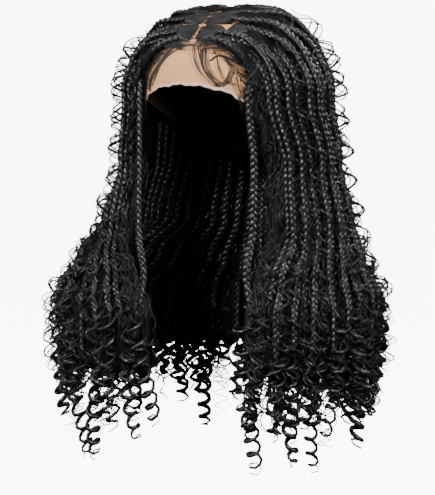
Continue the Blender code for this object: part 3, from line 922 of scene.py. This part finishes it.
def build_inner_braids():
    """Braids from the nape that line the inside of the back hair, with loose strands."""
    rng = np.random.default_rng(21)
    for side, side_name in SIDES.items():
        strands = Strands()
        for around in np.linspace(0.30, 0.985, 12):
            down = np.linspace(1.06 + 0.18 * around, rng.uniform(1.85, 1.99), 90)
            depth = -0.0040 - 0.011 * np.clip((1.34 - down) / 0.2, 0, 1) * around
            sway = around + 0.006 * np.sin(down * 5 + rng.uniform(0, 6))
            line, out = flow(side, sway, down, depth)
            half = settings().braid_width / 2 * 0.95 * np.clip((down[-1] - down) / 0.05, 0.35, 1)
            paths, face, swell = plait_paths(line, -out, half, 7)
            strands.add(paths, face, swell, sides=4, flatten=0.9, tint=rng.random(3))
        count = 44
        begin = rng.uniform(1.15, 1.4, count)
        paths, out = wave_paths(
            side, rng.uniform(0.02, 0.99, count), begin, rng.uniform(1.85, 2.05, count),
            rng.uniform(-0.22, -0.05, count), rng.uniform(0.002, 0.005, count),
            rng.uniform(0.016, 0.03, count), rng, 50,
        )
        strands.add(paths, out, INNER_CURL * rng.uniform(0.5, 1.2, (count, 1)), tint=rng.random(count))
        piece = strands.build(f"inner_braids_{side_name}", shared_material("hair strands"))
        finish_piece(piece, "black_hair")


def curl_bunch(
    strands, rng, side, count, copies, steps, thick, sides=3, sway=0.0, flatten=1.0, tighten=0.25,
    stand_off=0.0, tilt=0.0, apart=0.3, **limits,
):
    """Curls spread over part of the hair, each of a few strands that follow each other.

    The limits are for around, start, end, depth, radius and pitch. The strands of a curl differ
    in radius and phase by the amount called apart.
    """
    names = ("around", "start", "end", "depth", "radius", "pitch")
    around, begin, finish, deep, coil, turn = (rng.uniform(*limits[name], count) for name in names)
    phase = rng.uniform(0, 2 * math.pi, count)
    hand = np.where(rng.random(count) < 0.5, 1.0, -1.0)[:, None]
    share = np.linspace(0, 1, steps)
    taper = np.clip((1 - share) * 14, 0.35, 1) * np.clip(share * 9, 0.4, 1)
    for copy in range(copies):
        wide = coil * rng.uniform(1 - apart / 2, 1 + apart / 2, count)
        late = phase + rng.normal(0, apart, count)
        stop = finish - rng.uniform(0, 0.05, count) * (copy > 0)
        paths, swing = curl_paths(
            side, around, begin, stop, deep, wide, turn, late, steps, hand, sway, tighten, stand_off, tilt
        )
        radius = thick * rng.uniform(0.8, 1.15, (count, 1)) * taper
        strands.add(paths, swing, radius, sides=sides, flatten=flatten, tint=rng.random(count))


def build_curls():
    """Loose wavy hair between and over the braids, finer above and curlier below."""
    for number, (side, side_name, fall, start, end) in enumerate(part_groups()):
        rng = np.random.default_rng(200 + number)
        strands = Strands()
        count = settings().loose_curls
        if fall == "back":
            count = count * 3 // 4
        for _ in range(2):
            paths, out = wave_paths(
                side, rng.uniform(start - 0.01, end, count), rng.uniform(0.42, 1.0, count),
                rng.uniform(1.6, 2.0, count), rng.uniform(0.80, 1.12, count),
                rng.uniform(0.002, 0.0055, count), rng.uniform(0.018, 0.040, count), rng, 68,
            )
            strands.add(paths, out, LOOSE_WAVE * rng.uniform(0.6, 1.3, (count, 1)), tint=rng.random(count))
        curl_bunch(
            strands, rng, side, count // 4, copies=2, steps=80, thick=FINE_CURL,
            around=(start - 0.01, end), start=(0.5, 1.1), end=(1.8, 2.0), depth=(0.85, 1.12),
            radius=(0.003, 0.006), pitch=(0.018, 0.030),
        )
        curl_bunch(
            strands, rng, side, count // 3, copies=3, steps=50, thick=COARSE_CURL, sway=0.026,
            around=(start, end), start=(1.3, 1.6), end=(1.9, 2.06), depth=(0.85, 1.15),
            radius=(0.0050, 0.0085), pitch=(0.020, 0.034),
        )
        piece = strands.build(f"loose_curls_{fall}_{side_name}", shared_material("hair strands"))
        finish_piece(piece, "black_hair")


def build_flyaways():
    """Open curls that stand out from the outline of the hair, most of them at its widest."""
    for side, side_name in SIDES.items():
        rng = np.random.default_rng(300 + side)
        strands = Strands()
        widest = (0.46, 0.56) if side > 0 else (0.10, 0.26)
        for limits, count in ((widest, 4), ((0.0, 1.0), 6)):
            curl_bunch(
                strands, rng, side, count, copies=3, steps=84, thick=FLYAWAY_CURL, tighten=0.1,
                stand_off=0.0065, tilt=0.15, apart=0.12, around=limits, start=(0.4, 0.7),
                end=(1.8, 2.0), depth=(0.98, 1.04), radius=(0.0085, 0.0105), pitch=(0.030, 0.036),
            )
        piece = strands.build(f"flyaway_curls_{side_name}", shared_material("hair strands"))
        finish_piece(piece, "black_hair")


def build_ringlets():
    """Spiral ends below the hem: the longest where the part has them, shorter ones round them."""
    for number, (side, side_name, fall, start, end) in enumerate(part_groups()):
        rng = np.random.default_rng(400 + number)
        strands = Strands()
        for end_side, lock, turns, size in LONG_ENDS:
            place = float(lock_around(lock))
            if end_side != side or not start <= place < end:
                continue
            curl_bunch(
                strands, rng, side, 1, copies=1, steps=110, thick=LONG_RIBBON, sides=7, sway=0.026,
                flatten=0.75, tighten=0.50, tilt=0.45, around=(place, place), start=(1.70, 1.76),
                end=(2 + turns * RINGLET_PITCH / FALL_LENGTH,) * 2, depth=(0.5, 0.6),
                radius=(RINGLET_COIL * size * 1.50,) * 2, pitch=(0.0230, 0.0260),
            )
            curl_bunch(
                strands, rng, side, 2, copies=1, steps=70, thick=LOOSE_END, sway=0.026, tighten=0.4,
                around=(place - 0.01, place + 0.01), start=(1.7, 1.8), end=(2.1, 2.1 + turns * 0.03),
                depth=(0.4, 0.8), radius=(0.008, 0.011), pitch=(0.0200, 0.0240),
            )
        few = side < 0 and fall != "back"
        count = settings().spiral_ends // 2 if few else settings().spiral_ends
        curl_bunch(
            strands, rng, side, count, copies=1, steps=60, thick=SHORT_RIBBON, sides=6, sway=0.030,
            flatten=0.75, tighten=0.42, tilt=0.45, around=(start, end), start=(1.70, 1.86),
            end=(2.04, 2.20), depth=(0.2, 1.12), radius=(0.0070, 0.0098), pitch=(0.0190, 0.0260),
        )
        curl_bunch(
            strands, rng, side, count // 2, copies=2, steps=60, thick=FINE_END, sway=0.03,
            around=(start, end), start=(1.6, 1.86), end=(2.0, 2.18), depth=(0.4, 1.2),
            radius=(0.007, 0.0110), pitch=(0.018, 0.026),
        )
        curl_bunch(
            strands, rng, side, 20 if few else 36, copies=2, steps=40, thick=UNDER_CURL, sway=0.03,
            tilt=0.3, around=(start, end), start=(1.70, 1.92), end=(2.04, 2.16), depth=(0.1, 1.15),
            radius=(0.004, 0.008), pitch=(0.018, 0.030),
        )
        nodes = [f"ringlet_{side_name}_{lock:02d}" for lock in RINGLET_NODES[(side, fall)]]
        piece = strands.build(f"spiral_ends_{fall}_{side_name}", shared_material("hair strands"))
        finish_piece(piece, "black_hair", *nodes)


# Stage


def area_light(name, place, aim, size, power):
    """A soft square light aimed at a point."""
    light = bpy.data.lights.new(name, "AREA")
    light.size = size
    light.energy = power
    lamp = bpy.data.objects.new(name, light)
    lamp.location = place
    lamp.rotation_euler = (Vector(aim) - Vector(place)).to_track_quat("-Z", "Y").to_euler()
    bpy.context.scene.collection.objects.link(lamp)


def build_floor():
    """A wide white floor that lights nothing but is bright to the camera."""
    mesh = bpy.data.meshes.new("floor")
    square = np.array([(-1, -1), (1, -1), (1, 1), (-1, 1)]) * FLOOR_REACH
    mesh.from_pydata([(x, y, FLOOR_LEVEL) for x, y in square], [], [(0, 1, 2, 3)])
    floor = bpy.data.objects.new("floor", mesh)
    bpy.context.scene.collection.objects.link(floor)
    white = bpy.data.materials.new("white floor")
    white.use_nodes = True
    surface = white.node_tree.nodes["Principled BSDF"]
    surface.inputs["Base Color"].default_value = (0.9, 0.9, 0.9, 1)
    surface.inputs["Roughness"].default_value = 0.9
    surface.inputs["Emission Color"].default_value = (1, 1, 1, 1)
    surface.inputs["Emission Strength"].default_value = WHITE_SEEN
    mesh.materials.append(white)
    floor.visible_diffuse = False
    floor.visible_glossy = False


def build_surround():
    """A white surround, bright to the camera and faint as a light."""
    world = bpy.data.worlds.new("surround")
    world.use_nodes = True
    tree = world.node_tree
    backdrop = tree.nodes["Background"]
    backdrop.inputs["Strength"].default_value = WHITE_SEEN
    ambient = tree.nodes.new("ShaderNodeBackground")
    ambient.inputs["Strength"].default_value = WHITE_CAST
    seen = tree.nodes.new("ShaderNodeLightPath")
    choose = tree.nodes.new("ShaderNodeMixShader")
    tree.links.new(seen.outputs["Is Camera Ray"], choose.inputs[0])
    tree.links.new(ambient.outputs[0], choose.inputs[1])
    tree.links.new(backdrop.outputs[0], choose.inputs[2])
    tree.links.new(choose.outputs[0], tree.nodes["World Output"].inputs["Surface"])
    for node in (backdrop, ambient):
        node.inputs["Color"].default_value = (1, 1, 1, 1)
    bpy.context.scene.world = world


def build_camera():
    """The camera: turned round the wig towards its left and raised a little."""
    right = Vector((math.cos(CAMERA_TURN), math.sin(CAMERA_TURN), 0))
    level = math.cos(CAMERA_RISE)
    back = Vector((math.sin(CAMERA_TURN) * level, -math.cos(CAMERA_TURN) * level, math.sin(CAMERA_RISE)))
    up = back.cross(right)
    aim = right * CAMERA_AIM[0] + up * CAMERA_AIM[1]
    lens = bpy.data.cameras.new("camera")
    lens.lens = CAMERA_LENS
    camera = bpy.data.objects.new("camera", lens)
    camera.location = aim + back * CAMERA_DISTANCE
    camera.rotation_euler = (aim - camera.location).to_track_quat("-Z", "Y").to_euler()
    bpy.context.scene.collection.objects.link(camera)
    bpy.context.scene.camera = camera


# Add-on


class BraidWigSettings(bpy.types.PropertyGroup):
    """Sizes and colours that a user would change."""

    hair_colour: FloatVectorProperty(
        name="Hair colour", description="Colour of the hair", subtype="COLOR", size=3,
        default=(0.0036, 0.0036, 0.0043),
    )
    hair_roughness: FloatProperty(name="Hair roughness", description="Dullness of the hair", default=0.31)
    scalp_colour: FloatVectorProperty(
        name="Parting colour", description="Colour of the net in the partings", subtype="COLOR", size=3,
        default=(0.58, 0.28, 0.14),
    )
    cap_colour: FloatVectorProperty(
        name="Cap inside", description="Colour of the net inside the cap", subtype="COLOR", size=3,
        default=(0.075, 0.045, 0.03),
    )
    lace_colour: FloatVectorProperty(
        name="Lace colour", description="Colour of the front lace", subtype="COLOR", size=3,
        default=(0.66, 0.335, 0.15),
    )
    lace_cover: FloatProperty(name="Lace cover", description="How much the lace hides", default=0.86)
    braid_width: FloatProperty(
        name="Braid width", description="Width of one braid", default=0.0096, unit="LENGTH"
    )
    plait_length: FloatProperty(
        name="Plait length", description="Length of one full turn of the plait", default=0.019, unit="LENGTH"
    )
    loose_curls: IntProperty(name="Loose curls", description="Loose curls in each fall", default=38)
    spiral_ends: IntProperty(name="Spiral ends", description="Spiral ends under each fall", default=16)


class BRAIDWIG_OT_cap(bpy.types.Operator):
    """Add the net cap."""

    bl_idname = "braid_wig.cap"
    bl_label = "Cap"

    def execute(self, context):
        """Builds the cap."""
        build_cap()
        return {"FINISHED"}


class BRAIDWIG_OT_lace(bpy.types.Operator):
    """Add the sheer lace border in front of the hairline."""

    bl_idname = "braid_wig.lace"
    bl_label = "Lace border"

    def execute(self, context):
        """Builds the lace border."""
        build_lace()
        return {"FINISHED"}


class BRAIDWIG_OT_mass(bpy.types.Operator):
    """Add the six dark falls of hair behind the strands, darkened as painted shade."""

    bl_idname = "braid_wig.mass"
    bl_label = "Hair falls"

    def execute(self, context):
        """Builds the falls."""
        build_mass()
        return {"FINISHED"}


class BRAIDWIG_OT_boxes(bpy.types.Operator):
    """Add the smooth hair between the partings."""

    bl_idname = "braid_wig.boxes"
    bl_label = "Box hair"

    def execute(self, context):
        """Builds the boxes and their strands."""
        build_boxes()
        return {"FINISHED"}


class BRAIDWIG_OT_hairline(bpy.types.Operator):
    """Add the fine hairs that rise from the lace."""

    bl_idname = "braid_wig.hairline"
    bl_label = "Hairline"

    def execute(self, context):
        """Builds the hairline."""
        build_hairline()
        return {"FINISHED"}


class BRAIDWIG_OT_baby_hairs(bpy.types.Operator):
    """Add the laid baby hairs on the lace."""

    bl_idname = "braid_wig.baby_hairs"
    bl_label = "Baby hairs"

    def execute(self, context):
        """Builds the baby hairs."""
        build_baby_hairs()
        return {"FINISHED"}


class BRAIDWIG_OT_braids(bpy.types.Operator):
    """Add the outer braids."""

    bl_idname = "braid_wig.braids"
    bl_label = "Braids"

    def execute(self, context):
        """Builds the outer braids."""
        build_braids()
        return {"FINISHED"}


class BRAIDWIG_OT_inner_braids(bpy.types.Operator):
    """Add the braids that line the back hair."""

    bl_idname = "braid_wig.inner_braids"
    bl_label = "Inner braids"

    def execute(self, context):
        """Builds the inner braids."""
        build_inner_braids()
        return {"FINISHED"}


class BRAIDWIG_OT_curls(bpy.types.Operator):
    """Add the loose wavy hair between the braids."""

    bl_idname = "braid_wig.curls"
    bl_label = "Loose curls"

    def execute(self, context):
        """Builds the loose curls."""
        build_curls()
        return {"FINISHED"}


class BRAIDWIG_OT_flyaways(bpy.types.Operator):
    """Add the open curls round the outline of the hair."""

    bl_idname = "braid_wig.flyaways"
    bl_label = "Flyaway curls"

    def execute(self, context):
        """Builds the flyaway curls."""
        build_flyaways()
        return {"FINISHED"}


class BRAIDWIG_OT_ringlets(bpy.types.Operator):
    """Add the spiral ends below the hem."""

    bl_idname = "braid_wig.ringlets"
    bl_label = "Spiral ends"

    def execute(self, context):
        """Builds the spiral ends."""
        build_ringlets()
        return {"FINISHED"}


class BRAIDWIG_OT_stage(bpy.types.Operator):
    """Add the white stage, the lights and the camera."""

    bl_idname = "braid_wig.stage"
    bl_label = "Stage"

    def execute(self, context):
        """Builds the stage."""
        build_floor()
        build_surround()
        for name, place, size, power in LIGHTS:
            area_light(name, place, LIGHT_AIM, size, power)
        build_camera()
        return {"FINISHED"}


OPERATORS = (
    BRAIDWIG_OT_cap,
    BRAIDWIG_OT_lace,
    BRAIDWIG_OT_mass,
    BRAIDWIG_OT_boxes,
    BRAIDWIG_OT_hairline,
    BRAIDWIG_OT_baby_hairs,
    BRAIDWIG_OT_braids,
    BRAIDWIG_OT_inner_braids,
    BRAIDWIG_OT_curls,
    BRAIDWIG_OT_flyaways,
    BRAIDWIG_OT_ringlets,
    BRAIDWIG_OT_stage,
)


class BRAIDWIG_PT_panel(bpy.types.Panel):
    """The wig's sizes, colours and pieces."""

    bl_label = "Braid wig"
    bl_space_type = "VIEW_3D"
    bl_region_type = "UI"
    bl_category = "Braid wig"

    def draw(self, context):
        """Lists the settings, then a button for each group of pieces."""
        for name in BraidWigSettings.__annotations__:
            self.layout.prop(context.scene.braid_wig, name)
        for operator in OPERATORS:
            self.layout.operator(operator.bl_idname)


CLASSES = (BraidWigSettings, *OPERATORS, BRAIDWIG_PT_panel)


def register():
    """Adds the settings, operators and panel."""
    for item in CLASSES:
        bpy.utils.register_class(item)
    bpy.types.Scene.braid_wig = PointerProperty(type=BraidWigSettings)


def unregister():
    """Takes them away again."""
    del bpy.types.Scene.braid_wig
    for item in reversed(CLASSES):
        bpy.utils.unregister_class(item)


def main():
    """Builds every piece in order."""
    register()
    bpy.ops.braid_wig.cap()
    bpy.ops.braid_wig.lace()
    bpy.ops.braid_wig.mass()
    bpy.ops.braid_wig.boxes()
    bpy.ops.braid_wig.hairline()
    bpy.ops.braid_wig.baby_hairs()
    bpy.ops.braid_wig.braids()
    bpy.ops.braid_wig.inner_braids()
    bpy.ops.braid_wig.curls()
    bpy.ops.braid_wig.flyaways()
    bpy.ops.braid_wig.ringlets()
    bpy.ops.braid_wig.stage()


if __name__ == "__main__":
    main()
